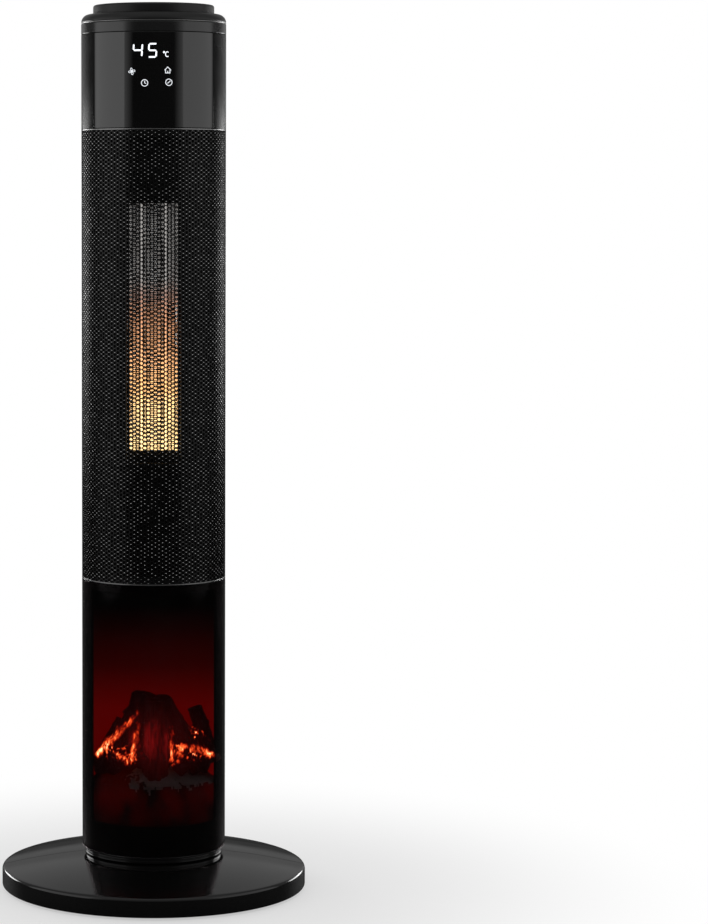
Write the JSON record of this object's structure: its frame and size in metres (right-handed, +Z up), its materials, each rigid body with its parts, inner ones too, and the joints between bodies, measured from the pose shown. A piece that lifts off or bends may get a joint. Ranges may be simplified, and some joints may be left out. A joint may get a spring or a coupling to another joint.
{
  "type": "tower heater",
  "caption": "Round free-standing ceramic tower heater with a log-fire window, perforated outlet grille, touch panel, rear inlet and a swing base.",
  "frame": {"origin": "on the floor, on the column's axis, at the centre of the round base", "axes": "+Z up along the column; the front with its window and panel faces -Y; +X is to the right when the front is looked at"},
  "size_m": [0.34, 0.3402, 0.983],
  "materials": {
    "base_plastic": "gloss black ABS",
    "shell_plastic": "satin black ABS",
    "inner_plastic": "matt black polyamide",
    "panel_acrylic": "gloss black acrylic",
    "smoked_acrylic": "smoked clear acrylic",
    "perforated_steel": "dark grey painted perforated steel",
    "screw_steel": "zinc-plated steel",
    "motor_steel": "pressed steel",
    "bearing_brass": "sintered brass",
    "aluminium": "bright aluminium",
    "hot_fins": "folded aluminium fins",
    "heater_frame": "glass-filled heat-resistant plastic",
    "ptc_ceramic": "barium titanate ceramic",
    "nylon": "natural nylon",
    "foot_rubber": "soft black rubber",
    "red_rocker": "lit red polycarbonate",
    "label_foil": "bare silver foil",
    "ember_resin": "translucent resin coals",
    "log_resin": "moulded charred wood",
    "flame_screen": "frosted red screen",
    "circuit_board": "green solder mask",
    "digit_face": "white lit digits"
  },
  "bodies": {
    "base": {"base_front_half": "base_plastic", "base_rear_half": "base_plastic", "foot_1": "foot_rubber", "foot_2": "foot_rubber", "foot_3": "foot_rubber", "foot_4": "foot_rubber", "base_screw_1": "screw_steel", "base_screw_2": "screw_steel", "base_screw_3": "screw_steel", "base_screw_4": "screw_steel", "cord_gland": "foot_rubber", "pedestal": "inner_plastic", "glide_ring": "nylon", "ring_gear": "nylon"},
    "column": {"column_floor": "shell_plastic", "front_frame": "shell_plastic", "rear_shell": "shell_plastic", "rear_grille": "shell_plastic", "handle_cup": "shell_plastic", "flame_window": "smoked_acrylic", "front_grille": "perforated_steel", "control_panel": "panel_acrylic", "head_ring": "base_plastic", "top_shoulder": "base_plastic", "top_cap": "base_plastic", "head_screw_left": "screw_steel", "head_screw_right": "screw_steel", "rating_plate": "label_foil", "switch_body": "inner_plastic", "firebox_tray": "inner_plastic", "middle_deck": "inner_plastic", "upper_deck": "inner_plastic", "ember_bed": "ember_resin", "log_set": "log_resin", "flame_screen": "flame_screen", "led_board": "circuit_board", "spindle_motor": "motor_steel", "heater_frame": "heater_frame", "ptc_bar_left": "ptc_ceramic", "ptc_bar_right": "ptc_ceramic", "fin_pack_left": "hot_fins", "fin_pack_centre": "hot_fins", "fin_pack_right": "hot_fins", "thermal_cutout": "nylon", "blower_scroll": "inner_plastic", "blower_tongue": "inner_plastic", "blower_motor": "motor_steel", "bearing_bottom": "bearing_brass", "bearing_top": "bearing_brass", "swing_motor": "motor_steel", "tilt_switch": "nylon", "display_board": "circuit_board", "digit_display": "digit_face", "control_board": "circuit_board"},
    "pinion": {"swing_pinion": "nylon"},
    "switch_rocker": {"rocker": "red_rocker"},
    "blower": {"rotor_lower": "inner_plastic", "rotor_upper": "inner_plastic", "rotor_shaft": "screw_steel"},
    "spindle": {"flicker_spindle": "aluminium"}
  },
  "joints": [
    {"name": "column_swing", "type": "hinge", "parent": "base", "child": "column", "pos_m": [0, 0, 0.041], "axis": [0, 0, 1], "range_deg": [-40, 40]},
    {"name": "swing_pinion_turn", "type": "hinge", "parent": "column", "child": "pinion", "pos_m": [0, 0.0454, 0.052], "axis": [0, 0, 1], "range_deg": [-82, 82]},
    {"name": "rocker_tilt", "type": "hinge", "parent": "column", "child": "switch_rocker", "pos_m": [0, 0.076, 0.2688], "axis": [1, 0, 0], "range_deg": [0, 20]},
    {"name": "blower_spin", "type": "hinge", "parent": "column", "child": "blower", "pos_m": [0, 0.018, 0.628], "axis": [0, 0, 1], "continuous": true},
    {"name": "spindle_spin", "type": "hinge", "parent": "column", "child": "spindle", "pos_m": [0, 0.012, 0.1045], "axis": [1, 0, 0], "continuous": true}
  ],
  "couplings": [
    {"joint": "swing_pinion_turn", "follows": "column_swing", "ratio": 2}
  ]
}
